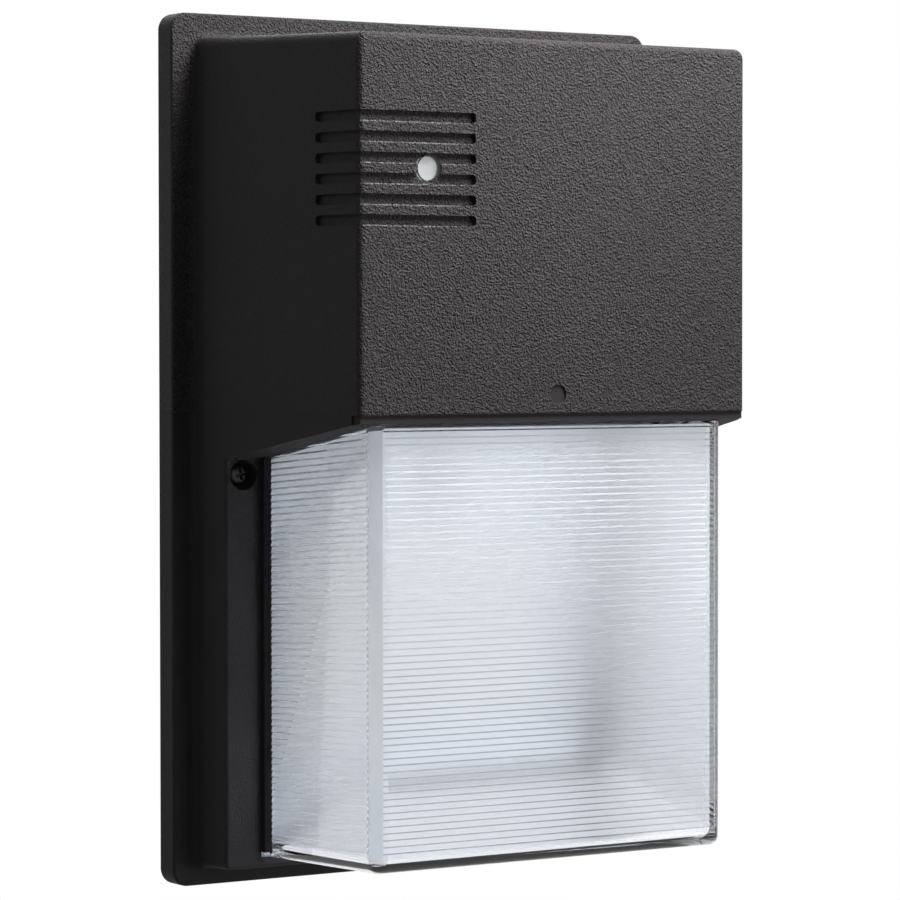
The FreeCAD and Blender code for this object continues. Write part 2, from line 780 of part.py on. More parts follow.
def make_wall_plate():
    """Plate on the wall, with threaded bosses for the housing screws and the ground screw."""
    body = new_body("wall_plate")
    outline = new_sketch(body, "XZ_Plane")
    rounded_rectangle(outline, "plate_half_x", "plate_half_z", "plate_corner")
    pad(body, outline, "plate_thickness")
    screws = pair("screw_x", "screw_z")
    ground = [("ground_x", "ground_z")]
    studs(body, "plate_thickness", "boss_meet", screws, "plate_boss / 2")
    studs(body, "plate_thickness", "ground_face", ground, "ground_boss / 2")
    drill(body, "0", "boss_meet", screws, "shank_size / 2 + thread_gap")
    drill(body, "0", "ground_face", ground, "shank_size / 2 + thread_gap")
    openings = new_sketch(body, "XZ_Plane")
    circle(openings, "0", "box_height", "wire_entry / 2")
    for x, z in pair("anchor_x / 2", "anchor_z / 2") + pair("anchor_x / 2", "-anchor_z / 2"):
        circle(openings, x, z, "anchor_hole / 2")
    slot_outline(openings, "0", "box_height + box_spacing / 2", True)
    slot_outline(openings, "0", "box_height - box_spacing / 2", True)
    slot_outline(openings, "box_spacing / 2", "box_height", False)
    slot_outline(openings, "-box_spacing / 2", "box_height", False)
    pocket(body, openings, "plate_thickness", outward=True)
    return body


# ---------------------------------------------------------------- reflector tray and LED board

def make_reflector_tray():
    """White sheet tray: a flat flange that backs the lens rim, and a flared pan."""
    body = new_body("reflector_tray")
    flange = new_sketch(body, "XZ_Plane", "rim_back - tray_sheet")
    wide_rectangle(flange, "tray_half", "tray_low", "tray_high")
    pad(body, flange, "tray_sheet")

    def pan(mouth_depth, floor_depth, wall, adds):
        mouth = (mouth_depth, "pan_side + %s" % wall, "pan_low - %s" % wall, "pan_high + %s" % wall)
        floor = (floor_depth, "pan_side + %s - pan_flare" % wall, "pan_low - %s + pan_flare" % wall,
                 "pan_high + %s - pan_flare" % wall)
        taper(body, mouth, floor, adds)

    pan("rim_back - tray_sheet / 2", "pan_back", "tray_sheet", True)
    pan("rim_back", "pan_floor", "0", False)
    flange_back = "rim_back - tray_sheet"
    drill(body, flange_back, "rim_back", pair("screw_x", "screw_z"), "notch_radius")
    drill(body, flange_back, "rim_back", tray_post_places(), "clear_radius")
    drill(body, "pan_back", "pan_floor", board_screw_places(), "thread_radius")
    drill(body, "pan_back", "pan_floor", [("0", "bushing_z")], "bushing_hole / 2")
    return body


def board_screw_places():
    x = "board_half - board_screw_inset"
    return pair(x, "board_high - board_screw_inset") + pair(x, "board_low + board_screw_inset")


def make_flat_board(name, back, thickness):
    body = new_body(name)
    sketch = new_sketch(body, "XZ_Plane", back)
    wide_rectangle(sketch, "board_half", "board_low", "board_high")
    for x, z in board_screw_places():
        circle(sketch, x, z, "clear_radius")
    pad(body, sketch, thickness)
    return body


def block(x0, x1, depth0, depth1, z0, z1):
    """A box between two depths, from expressions."""
    low = point(x0, depth1, z0)
    high = point(x1, depth0, z1)
    return Part.makeBox(high.x - low.x, high.y - low.y, high.z - low.z, low)


def rod(x, z, depth0, depth1, radius):
    """A cylinder along the depth axis, from expressions."""
    length = size(depth1) - size(depth0)
    return Part.makeCylinder(size(radius), length, point(x, depth0, z), Vector(0, -1, 0))


def plain_part(name, shape):
    item = doc.addObject("Part::Feature", name)
    item.Label = name
    item.Shape = shape
    return item


def spread(low, high, count):
    """Evenly spaced numbers from one expression to another, both included."""
    start = size(low)
    step = (size(high) - start) / (count - 1)
    return [start + step * number for number in range(count)]


def make_led_chips():
    side = "board_half - chip_side_gap"
    chips = []
    for x in spread("-(%s)" % side, side, int(size("chip_columns"))):
        for z in spread("board_low + chip_bottom_gap", "board_high - chip_top_gap", int(size("chip_rows"))):
            chips.append(block(
                "%f - chip_width / 2" % x, "%f + chip_width / 2" % x, "board_face",
                "board_face + chip_thickness", "%f - chip_height / 2" % z, "%f + chip_height / 2" % z))
    return plain_part("led_chips", Part.makeCompound(chips))


def led_lead_x():
    """X of the two LED leads where they run side by side."""
    return ("lead_pitch / 2", "-lead_pitch / 2")


def make_led_connector():
    """Two-pole push-in terminal on the board, open at the top for the leads."""
    case = block("-connector_width / 2", "connector_width / 2", "board_face",
                 "board_face + connector_thickness", "connector_top - connector_height", "connector_top")
    for x in led_lead_x():
        mouth = point(x, "connector_middle", "connector_top")
        socket = Part.makeCylinder(size("lead_size / 2 + lead_gap"), size("connector_socket"),
                                   mouth, Vector(0, 0, -1))
        case = case.cut(socket)
    return plain_part("led_connector", case)


def make_tray_bushing():
    """Snap-in nylon bushing round the LED leads, with a lip on each side of the sheet."""
    front = "pan_floor + bushing_wall"
    back = "pan_back - bushing_wall"
    sleeve = rod("0", "bushing_z", back, front, "bushing_hole / 2 - thread_gap")
    back_lip = rod("0", "bushing_z", back, "pan_back", "bushing_hole / 2 + bushing_lip")
    front_lip = rod("0", "bushing_z", "pan_floor", front, "bushing_hole / 2 + bushing_lip")
    bore = rod("0", "bushing_z", back, front, "bushing_hole / 2 - bushing_wall")
    return plain_part("tray_bushing", sleeve.fuse([back_lip, front_lip]).removeSplitter().cut(bore))


# ---------------------------------------------------------------- driver

def driver_outline(body, depth, inset):
    """The driver's long rectangle, drawn in by an inset."""
    sketch = new_sketch(body, "XZ_Plane", depth)
    wide_rectangle(sketch, "driver_width / 2 - (%s)" % inset, "driver_low + (%s)" % inset,
                   "driver_high - (%s)" % inset)
    return sketch


def make_driver_case():
    """Plastic case, open towards the wall, with an ear at each end."""
    body = new_body("driver_case")
    pad(body, driver_outline(body, "driver_back", "0"), "driver_body")
    middle = "driver_front - driver_body / 2"
    corners = both_sides(point("driver_width / 2", middle, "driver_low"),
                         point("driver_width / 2", middle, "driver_high"))
    round_edges(body, corners, "driver_wall")
    ears = new_sketch(body, "XZ_Plane", "driver_front - ear_thickness")
    wide_rectangle(ears, "driver_width / 2 + ear_length", "driver_z - ear_width / 2",
                   "driver_z + ear_width / 2")
    pad(body, ears, "ear_thickness")
    drill(body, "driver_front - ear_thickness", "driver_front", ear_places(), "clear_radius")
    hollow = driver_outline(body, "driver_back", "driver_wall")
    pocket(body, hollow, "driver_body - driver_wall", outward=True)
    return body


def make_driver_circuit():
    """The circuit board and its potting fill the case up to the lid."""
    body = new_body("driver_circuit")
    fill = driver_outline(body, "driver_back + fit_gap", "driver_wall + fit_gap")
    pad(body, fill, "driver_body - driver_wall - 2 * fit_gap")
    return body


def make_driver_lid():
    body = new_body("driver_lid")
    pad(body, driver_outline(body, "driver_back - driver_lid", "0"), "driver_lid")
    return body


# ---------------------------------------------------------------- photocell

def make_photocell_body():
    """Round potted cell with a nose that reaches into the hood's hole."""
    body = new_body("photocell_body")
    eye = [("-eye_left", "eye_height")]
    studs(body, "cell_back", "cell_front", eye, "cell_size / 2")
    studs(body, "cell_front", "sensor_face", eye, "nose_size / 2")
    return body


def make_photocell_sensor():
    return plain_part("photocell_sensor", rod(
        "-eye_left", "eye_height", "sensor_face", "sensor_face + sensor_thickness", "sensor_size / 2"))


def make_photocell_window():
    """Clear cap over the sensor: a round disc with a skirt that stands on the nose."""
    front = "hood_depth - window_sink"
    cap = rod("-eye_left", "eye_height", "sensor_face", front, "nose_size / 2")
    hollow = rod("-eye_left", "eye_height", "sensor_face", front + " - window_thickness",
                 "sensor_size / 2 + window_play")
    return plain_part("photocell_window", cap.cut(hollow))


def make_photocell_strap():
    """Steel strap behind the cell, screwed to a post at each side."""
    body = new_body("photocell_strap")
    sketch = new_sketch(body, "XZ_Plane", "cell_back - strap_sheet")
    reach = "(strap_span / 2 + strap_end)"
    rectangle(sketch, "-eye_left - " + reach, reach + " - eye_left",
              "eye_height - strap_width / 2", "eye_height + strap_width / 2")
    for x, z in strap_places():
        circle(sketch, x, z, "clear_radius")
    pad(body, sketch, "strap_sheet")
    return body


# ---------------------------------------------------------------- screws

def screw_shape(head, head_height, shank, length):
    """Pan head screw with a cross recess: head above the XY plane, shank below it."""
    radius = size(head) / 2
    rise = size(head_height)
    thin = size(shank) / 2
    tip = -size(length)
    chamfer = size("tip_chamfer")
    rim = rise * 0.55
    outline = [(0, tip), (thin - chamfer, tip), (thin, tip + chamfer), (thin, 0), (radius, 0), (radius, rim)]
    corners = [Vector(x, 0, z) for x, z in outline]
    top = Vector(0, 0, rise)
    crown = Part.Arc(corners[-1], Vector(radius * 0.62, 0, rise * 0.93), top)
    edges = [Part.LineSegment(a, b).toShape() for a, b in zip(corners, corners[1:])]
    edges += [crown.toShape(), Part.LineSegment(top, corners[0]).toShape()]
    solid = Part.Face(Part.Wire(edges)).revolve(Vector(0, 0, 0), Vector(0, 0, 1), 360)
    scale = radius * 2 / size("head_size")
    span = size("cross_span") * scale
    width = size("cross_width") * scale
    sink = size("cross_depth") * scale
    bar = Part.makeBox(span, width, rise, Vector(-span / 2, -width / 2, rise - sink))
    other = Part.makeBox(width, span, rise, Vector(-width / 2, -span / 2, rise - sink))
    return solid.cut(bar.fuse(other))


def placed_screw(shape, x, z, seat, faces_wall, turn):
    """A copy of a screw with its head on a seat at a depth, facing the front or the wall."""
    copy = shape.copy()
    tilt = -90 if faces_wall else 90
    turned = FreeCAD.Rotation(Vector(1, 0, 0), tilt) * FreeCAD.Rotation(Vector(0, 0, 1), turn)
    copy.Placement = FreeCAD.Placement(point(x, seat, z), turned)
    return copy


def screw_set(name, shape, places, seat, faces_wall=False):
    """Identical screws, each turned a little further than the one before."""
    copies = []
    for number, (x, z) in enumerate(places):
        copies.append(placed_screw(shape, x, z, seat, faces_wall, 25.0 * number))
    return plain_part(name, Part.makeCompound(copies))


def small_screw(length):
    return screw_shape("small_head", "small_head_height", "small_shank", length)


def make_housing_screws():
    """The two captive screws and the retainer washers pushed onto their shanks."""
    shape = screw_shape("head_size", "head_height", "shank_size", "screw_seat - shank_end")
    items = []
    for side, x, turn in (("left", "-screw_x", 12.0), ("right", "screw_x", 50.0)):
        items.append(plain_part("housing_screw_" + side,
                                placed_screw(shape, x, "screw_z", "screw_seat", False, turn)))
        front = "retainer_back + retainer_thickness"
        washer = rod(x, "screw_z", "retainer_back", front, "retainer_bore / 2 - retainer_gap")
        bore = rod(x, "screw_z", "retainer_back", front, "shank_size / 2")
        items.append(plain_part("screw_retainer_" + side, washer.cut(bore)))
    return items


def make_small_screws():
    board_length = "board_thickness + pad_thickness + tray_sheet + board_bite"
    return [
        screw_set("tray_screws", small_screw("tray_sheet + tray_bite"), tray_post_places(),
                  "rim_back - tray_sheet", faces_wall=True),
        screw_set("led_board_screws", small_screw(board_length), board_screw_places(), "board_face"),
        screw_set("driver_screws", small_screw("ear_thickness + driver_bite"), ear_places(),
                  "driver_front - ear_thickness", faces_wall=True),
        screw_set("photocell_strap_screws", small_screw("strap_sheet + strap_bite"), strap_places(),
                  "cell_back - strap_sheet", faces_wall=True),
        screw_set("ground_screw",
                  screw_shape("head_size", "head_height", "shank_size", "terminal_sheet + ground_bite"),
                  [("ground_x", "ground_z")], "ground_face + terminal_sheet"),
    ]


def make_ground_terminal():
    """Ring terminal under the ground screw, with a barrel for the lead."""
    front = "ground_face + terminal_sheet"
    ring = rod("ground_x", "ground_z", "ground_face", front, "terminal_ring / 2")
    eye = rod("ground_x", "ground_z", "ground_face", front, "shank_size / 2 + fit_gap")
    foot = "ground_z + terminal_ring / 2"
    tail = block("ground_x - terminal_tail / 2", "ground_x + terminal_tail / 2", "ground_face", front,
                 "ground_z + terminal_ring / 3", foot + " + barrel_wall")
    radius = size("lead_size / 2 + barrel_wall")
    barrel = Part.makeCylinder(radius, size("barrel_length"), point("ground_x", "barrel_depth", foot))
    socket = Part.makeCylinder(size("lead_size / 2 + thread_gap"), size("barrel_length"),
                               point("ground_x", "barrel_depth", foot + " + barrel_wall"))
    return plain_part("ground_terminal", ring.fuse([tail, barrel]).cut(socket).cut(eye))


# ---------------------------------------------------------------- leads

def lead_path(corners):
    """Straight runs joined by tangent arcs, each as large as its runs allow, and their radii."""
    edges = []
    radii = []
    start = corners[0]
    for before, corner, after in zip(corners, corners[1:], corners[2:]):
        arrive = corner - before
        leave = after - corner
        trim = 0.45 * min(arrive.Length, leave.Length)
        half_turn = arrive.getAngle(leave) / 2
        radius = trim / math.tan(half_turn)
        first = corner - arrive.normalize() * trim
        last = corner + leave.normalize() * trim
        inward = ((first + last) * 0.5 - corner).normalize()
        middle = corner + inward * (radius / math.cos(half_turn) - radius)
        edges.append(Part.LineSegment(start, first).toShape())
        edges.append(Part.Arc(first, middle, last).toShape())
        radii.append(radius)
        start = last
    edges.append(Part.LineSegment(start, corners[-1]).toShape())
    return edges, radii


def make_lead(name, places):
    """A round lead along corners given as (x, depth, z) expressions."""
    corners = [point(*place) for place in places]
    edges, radii = lead_path(corners)
    path = Part.Wire(edges)
    radius = size("lead_size / 2")
    section = Part.Wire([Part.Circle(corners[0], corners[1] - corners[0], radius).toShape()])
    tube = path.makePipeShell([section], True, False)
    expected = math.pi * radius ** 2 * path.Length
    if abs(tube.Volume - expected) > 0.01 * expected:
        raise ValueError("%s: volume %.1f, expected %.1f" % (name, tube.Volume, expected))
    print("%-24s bends of %s mm" % (name, ", ".join("%.0f" % value for value in radii)))
    return plain_part(name, tube)


LINE, NEUTRAL, SWITCHED, GROUND = ["nut_step * (%.1f)" % step for step in (-1.5, -0.5, 0.5, 1.5)]


def make_wire_connectors():
    """Twist-on connectors, mouth down: a short skirt, a tapered cap and a bore for the leads."""
    caps = []
    up = Vector(0, 0, 1)
    radius = size("nut_size / 2")
    skirt_height = size("nut_skirt")
    for x in (LINE, NEUTRAL, SWITCHED, GROUND):
        mouth = point(x, "nut_depth", "nut_mouth")
        skirt = Part.makeCylinder(radius, skirt_height, mouth, up)
        cap = Part.makeCone(radius, size("nut_tip / 2"), size("nut_height") - skirt_height,
                            mouth + up * skirt_height, up)
        bore = Part.makeCylinder(size("nut_bore / 2"), size("nut_bore_depth"), mouth, up)
        caps.append(skirt.fuse(cap).removeSplitter().cut(bore))
    return plain_part("wire_connectors", Part.makeCompound(caps))


def make_photocell_leads():
    """Three leads from the cell's back, down and back to the connectors."""
    bottom = "eye_height - cell_size / 2 + 2.5"
    inside = "nut_mouth + nut_bore_depth"
    leads = [make_lead("photocell_lead_black", [
        ("-eye_left - 3", "cell_back", bottom), ("-eye_left - 3", "cell_back - 29", bottom),
        (LINE, "nut_depth", "nut_mouth - 8"), (LINE, "nut_depth", inside)])]
    leads.append(make_lead("photocell_lead_white", [
        ("-eye_left", "cell_back", bottom), ("-eye_left", "cell_back - 25", bottom),
        (NEUTRAL + " - 2", "nut_depth + 8", "nut_mouth - 14"),
        (NEUTRAL + " - 2", "nut_depth", "nut_mouth - 5"), (NEUTRAL + " - 2", "nut_depth", inside)]))
    leads.append(make_lead("photocell_lead_red", [
        ("-eye_left + 3", "cell_back", bottom), ("-eye_left + 3", "cell_back - 21", bottom),
        (SWITCHED + " - 2", "nut_depth + 10", "nut_mouth - 14"),
        (SWITCHED + " - 2", "nut_depth", "nut_mouth - 5"), (SWITCHED + " - 2", "nut_depth", inside)]))
    return leads


def make_driver_leads():
    """Two supply leads from the driver's left end, round its edge to the connectors."""
    end = "-driver_width / 2"
    turn = end + " - 8"
    depth = "driver_front - driver_body / 2"
    behind = "driver_back - driver_lid"
    inside = "nut_mouth + nut_bore_depth"
    return [
        make_lead("driver_lead_white", [
            (end, depth, "driver_z - 7"), (turn, depth, "driver_z - 7"),
            (turn, behind + " - 10", "driver_z + 15"), (NEUTRAL + " + 2", "nut_depth", "nut_mouth - 17"),
            (NEUTRAL + " + 2", "nut_depth", inside)]),
        make_lead("driver_lead_black", [
            (end, depth, "driver_z + 7"), (turn, depth, "driver_z + 7"),
            (turn, behind + " - 6", "driver_z + 25"), (SWITCHED + " + 2", "nut_depth", "nut_mouth - 8"),
            (SWITCHED + " + 2", "nut_depth", inside)]),
    ]


def make_led_leads():
    """Two leads from the driver's right end, behind the tray and through its bushing."""
    end = "driver_width / 2"
    depth = "driver_front - driver_body / 2"
    behind = "(plate_thickness + pan_back) / 2"
    red_x, black_x = led_lead_x()
    leads = []
    for name, x, z, out in (("led_lead_red", red_x, "driver_z + 4", "8"),
                            ("led_lead_black", black_x, "driver_z - 4", "5")):
        turn = "%s + %s" % (end, out)
        leads.append(make_lead(name, [
            (end, depth, z), (turn, depth, z), (turn, "rim_back + 3.5", "tray_high + 12 - %s" % x),
            ("24 + %s" % x, behind, "-(%s)" % x), (x, behind, "-7 - %s" % x), (x, behind, "bushing_z"),
            (x, "connector_middle", "bushing_z"),
            (x, "connector_middle", "connector_top - connector_socket")]))
    return leads


def make_ground_lead():
    socket = "ground_z + terminal_ring / 2 + barrel_wall"
    return make_lead("ground_lead", [
        ("ground_x", "barrel_depth", socket), ("ground_x", "barrel_depth", socket + " + 11"),
        (GROUND, "nut_depth", "nut_mouth - 6"), (GROUND, "nut_depth", "nut_mouth + nut_bore_depth")])


# ---------------------------------------------------------------- assembly

def make_everything():
    items = [make_housing(), make_wall_plate(), make_wall_gasket()]
    items += [make_lens(), make_lens_gasket(), make_reflector_tray()]
    items.append(make_flat_board("thermal_pad", "pan_floor", "pad_thickness"))
    items.append(make_flat_board("led_board", "board_back", "board_thickness"))
    items += [make_led_chips(), make_led_connector(), make_tray_bushing()]
    items += [make_driver_case(), make_driver_circuit(), make_driver_lid()]
    items += [make_photocell_body(), make_photocell_sensor(), make_photocell_window()]
    items += [make_photocell_strap(), make_ground_terminal(), make_wire_connectors()]
    items += make_housing_screws()
    items += make_small_screws()
    items += make_photocell_leads()
    items += make_driver_leads()
    items += make_led_leads()
    items.append(make_ground_lead())
    return items


def check_document(items):
    for item in doc.Objects:
        bad = [state for state in item.State if state in ("Invalid", "Error")]
        if bad:
            raise ValueError("%s is %s" % (item.Name, ", ".join(bad)))
    for item in items:
        if item.Shape.isNull() or not item.Shape.isValid():
            raise ValueError(item.Label + " has a bad shape")


def main():
    items = make_everything()
    doc.recompute()
    check_document(items)
    os.makedirs("parts", exist_ok=True)
    for item in items:
        item.Shape.exportStep("parts/%s.step" % item.Label)
        print("%-24s %3d solids %12.1f mm3" % (item.Label, len(item.Shape.Solids), item.Shape.Volume))


main()
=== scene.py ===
"""Looks for the wall pack light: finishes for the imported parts, a ribbed lens, and the studio."""
import math

import bmesh
import bpy
from mathutils import Matrix, Vector


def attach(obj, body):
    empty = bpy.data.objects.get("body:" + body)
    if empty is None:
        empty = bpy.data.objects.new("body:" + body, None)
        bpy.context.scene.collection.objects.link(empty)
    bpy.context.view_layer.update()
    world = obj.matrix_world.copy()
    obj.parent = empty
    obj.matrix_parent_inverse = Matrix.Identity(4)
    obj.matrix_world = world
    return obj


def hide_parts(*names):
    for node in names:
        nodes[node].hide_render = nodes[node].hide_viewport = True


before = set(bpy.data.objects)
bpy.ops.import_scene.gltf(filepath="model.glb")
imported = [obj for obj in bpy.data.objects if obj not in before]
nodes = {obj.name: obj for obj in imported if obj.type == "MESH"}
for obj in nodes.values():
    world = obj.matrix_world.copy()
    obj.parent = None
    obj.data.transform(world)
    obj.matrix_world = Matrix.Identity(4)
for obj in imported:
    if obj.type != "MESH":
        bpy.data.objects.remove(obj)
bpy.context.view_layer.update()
MM = 0.001


# ---------------------------------------------------------------- camera

CAMERA_PLACE = (-650.6, -1017.8, 33.1)
CAMERA_ANGLES = (33.27, -1.632, -0.05)
CAMERA_LENS = 155.63


def place_camera():
    """The photograph's own view, turned by yaw, pitch and roll."""
    yaw, pitch, roll = (math.radians(angle) for angle in CAMERA_ANGLES)
    level = math.cos(pitch)
    look = Vector((math.sin(yaw) * level, math.cos(yaw) * level, math.sin(pitch)))
    right = Vector((math.cos(yaw), -math.sin(yaw), 0.0))
    turn = Matrix((right, right.cross(look), -look)).transposed() @ Matrix.Rotation(roll, 3, "Z")
    data = bpy.data.cameras.new("camera")
    data.sensor_width = 36.0
    data.lens = CAMERA_LENS
    data.clip_start = 0.05
    data.clip_end = 50.0
    camera = bpy.data.objects.new("camera", data)
    bpy.context.scene.collection.objects.link(camera)
    camera.matrix_world = Matrix.Translation(Vector(CAMERA_PLACE) * MM) @ turn.to_4x4()
    bpy.context.scene.camera = camera


# ---------------------------------------------------------------- node helpers

class Finish:
    """A material under construction: its nodes, and short ways to add and join more."""

    def __init__(self, name, rough=0.5, metal=0.0):
        self.material = bpy.data.materials.new(name)
        self.material.use_nodes = True
        self.tree = self.material.node_tree
        self.shader = self.tree.nodes["Principled BSDF"]
        self.output = self.tree.nodes["Material Output"]
        self.shader.inputs["Roughness"].default_value = rough
        self.shader.inputs["Metallic"].default_value = metal
        self.place = self.add("ShaderNodeTexCoord").outputs["Object"]

    def add(self, kind, **settings):
        node = self.tree.nodes.new(kind)
        for key, value in settings.items():
            setattr(node, key, value)
        return node

    def join(self, source, target):
        self.tree.links.new(source, target)

    def axes(self, vector=None):
        """The x, y and z of a vector, or of the place on the object."""
        split = self.add("ShaderNodeSeparateXYZ")
        self.join(vector or self.place, split.inputs[0])
        return split.outputs

    def noise(self, size, detail=2.0, where=None):
        """Cloudy noise with features about size millimetres across."""
        node = self.add("ShaderNodeTexNoise")
        node.inputs["Scale"].default_value = 1.0 / (size * MM)
        node.inputs["Detail"].default_value = detail
        node.inputs["Roughness"].default_value = 0.5
        self.join(where or self.place, node.inputs["Vector"])
        return node.outputs["Fac"]

    def pebbles(self, size, where, softness):
        """Rounded cells about size millimetres across."""
        node = self.add("ShaderNodeTexVoronoi", feature="SMOOTH_F1")
        node.inputs["Scale"].default_value = 1.0 / (size * MM)
        node.inputs["Smoothness"].default_value = softness
        self.join(where, node.inputs["Vector"])
        return node.outputs["Distance"]

    def math(self, operation, *values):
        """A sum or comparison of numbers and sockets."""
        node = self.add("ShaderNodeMath", operation=operation)
        for socket, value in zip(node.inputs, values):
            if isinstance(value, (int, float)):
                socket.default_value = value
            else:
                self.join(value, socket)
        return node.outputs[0]

    def product(self, first, *others):
        for other in others:
            first = self.math("MULTIPLY", first, other)
        return first

    def span(self, value, low, high, new_low, new_high):
        """Carry a value from one range to another, held at the ends."""
        node = self.add("ShaderNodeMapRange")
        for socket, number in zip(list(node.inputs)[1:5], (low, high, new_low, new_high)):
            socket.default_value = number
        self.join(value, node.inputs[0])
        return node.outputs[0]

    def blend(self, factor, first, second):
        """A colour between two colours, each a triple or a socket."""
        node = self.add("ShaderNodeMix", data_type="RGBA")
        self.join(factor, node.inputs[0])
        for socket, colour in ((node.inputs[6], first), (node.inputs[7], second)):
            if isinstance(colour, tuple):
                socket.default_value = colour + (1.0,)
            else:
                self.join(colour, socket)
        return node.outputs[2]

    def bump(self, height, strength, depth):
        """Relief of a depth in millimetres."""
        node = self.add("ShaderNodeBump")
        node.inputs["Strength"].default_value = strength
        node.inputs["Distance"].default_value = depth * MM
        self.join(height, node.inputs["Height"])
        return node.outputs["Normal"]

    def wear(self, colour=None, rough=None, normal=None):
        """Put colour, roughness and relief on the shader."""
        for name, socket in (("Base Color", colour), ("Roughness", rough), ("Normal", normal)):
            if socket is not None:
                self.join(socket, self.shader.inputs[name])

    def mixed(self, factor, first, second):
        """One shader where the factor is 0, another where it is 1."""
        mix = self.add("ShaderNodeMixShader")
        for source, target in zip((factor, first, second), mix.inputs):
            self.join(source, target)
        return mix.outputs[0]

    def let_lamps_through(self, tint):
        """Lamps reach what is behind clear plastic through a plain tint."""
        through = self.add("ShaderNodeBsdfTransparent")
        through.inputs["Color"].default_value = tint + (1.0,)
        shadow = self.add("ShaderNodeLightPath").outputs["Is Shadow Ray"]
        surface = self.mixed(shadow, self.shader.outputs[0], through.outputs[0])
        self.join(surface, self.output.inputs["Surface"])


def shade(colour, factor):
    return tuple(min(1.0, channel * factor) for channel in colour)


# ---------------------------------------------------------------- the coat on the housing

COAT_DARK = (0.049, 0.0445, 0.046)
COAT_LIGHT = (0.098, 0.090, 0.0925)
COAT_PATCH = (0.086, 0.079, 0.081)
# A painted highlight: the lighter coat colour laid along the louvre slots' lower lips.
COAT_LIP_HIGHLIGHT = (0.26, 0.245, 0.25)
GRAIN_LOW = 0.05
GRAIN_HIGH = 0.40

LIP_TOP = 11.3            # the hood's smooth front lip ends here
DIMPLE_HEIGHT = 16.95
DIMPLE_RADIUS = 2.8

SLOT_LIP = 65.35          # lower lip of the lowest louvre slot
SLOT_PITCH = 5.92
SLOT_COUNT = 6
SLOT_END = -29.0
SLOT_BRIGHT = 14.0        # the painted highlight on each lip fades over this length
HOOD_FACE = -83.5


def textured_part(coat):
    """1 where the coat is grained: not in the dimple, and but for a trace on lip and sides."""
    x, _, z = coat.axes()
    facing = coat.axes(coat.add("ShaderNodeTexCoord").outputs["Normal"])
    sideways = coat.math("ABSOLUTE", facing[0])
    rise = coat.math("SUBTRACT", z, DIMPLE_HEIGHT * MM)
    squares = [coat.math("POWER", coat.math("ABSOLUTE", offset), 2.0) for offset in (x, rise)]
    away = coat.math("SQRT", coat.math("ADD", *squares))
    outside = coat.span(away, (DIMPLE_RADIUS - 0.1) * MM, (DIMPLE_RADIUS + 0.1) * MM, 0.0, 1.0)
    above = coat.span(z, LIP_TOP * MM, (LIP_TOP + 0.5) * MM, 0.15, 1.0)
    frontal = coat.span(sideways, 0.4, 0.8, 1.0, 0.25)
    return coat.product(outside, above, frontal)


def painted_lip_highlight(coat):
    """1 along the lower lips of the louvre slots on the hood's front, where a painted highlight
    lightens the coat.
    """
    x, y, z = coat.axes()
    rise = coat.math("SUBTRACT", z, SLOT_LIP * MM)
    away = coat.math("PINGPONG", rise, SLOT_PITCH / 2 * MM)
    line = coat.span(away, 0.10 * MM, 0.28 * MM, 1.0, 0.0)
    half = SLOT_PITCH * (SLOT_COUNT - 1) / 2
    beside = coat.math("COMPARE", rise, half * MM, (half + 1.0) * MM)
    front = coat.math("LESS_THAN", y, HOOD_FACE * MM)
    ended = coat.math("LESS_THAN", x, SLOT_END * MM)
    fade = coat.span(x, (SLOT_END - SLOT_BRIGHT) * MM, SLOT_END * MM, 1.0, 0.15)
    return coat.product(line, beside, front, ended, fade)


def leather_coat():
    """Charcoal powder coat with a fine leather grain."""
    coat = Finish("leather_coat")
    coat.shader.inputs["Specular IOR Level"].default_value = 0.12
    warp = coat.add("ShaderNodeTexNoise")
    warp.inputs["Scale"].default_value = 520.0
    warp.inputs["Detail"].default_value = 1.0
    coat.join(coat.place, warp.inputs["Vector"])
    drift = coat.add("ShaderNodeVectorMath", operation="MULTIPLY_ADD")
    coat.join(warp.outputs["Color"], drift.inputs[0])
    drift.inputs[1].default_value = (0.9 * MM, 0.9 * MM, 0.9 * MM)
    coat.join(coat.place, drift.inputs[2])
    moved = drift.outputs[0]
    wrinkle = coat.product(coat.noise(0.64, 1.5, moved), 0.75)
    pebble = coat.product(coat.pebbles(0.66, moved, 0.4), -0.35)
    grain = coat.product(coat.math("ADD", wrinkle, pebble), textured_part(coat))
    tone = coat.span(grain, GRAIN_LOW, GRAIN_HIGH, 0.0, 1.0)
    patch = coat.span(coat.noise(26.0), 0.35, 0.65, 0.0, 0.16)
    cloudy = coat.blend(patch, coat.blend(tone, COAT_DARK, COAT_LIGHT), COAT_PATCH)
    gloss = coat.span(grain, GRAIN_LOW, GRAIN_HIGH, 0.66, 0.52)
    # Painted highlight: the coat turns lighter along the slots' lower lips.
    coat.wear(coat.blend(painted_lip_highlight(coat), cloudy, COAT_LIP_HIGHLIGHT), gloss, coat.bump(grain, 1.0, 1.15))
    return coat.material


# ---------------------------------------------------------------- the other finishes

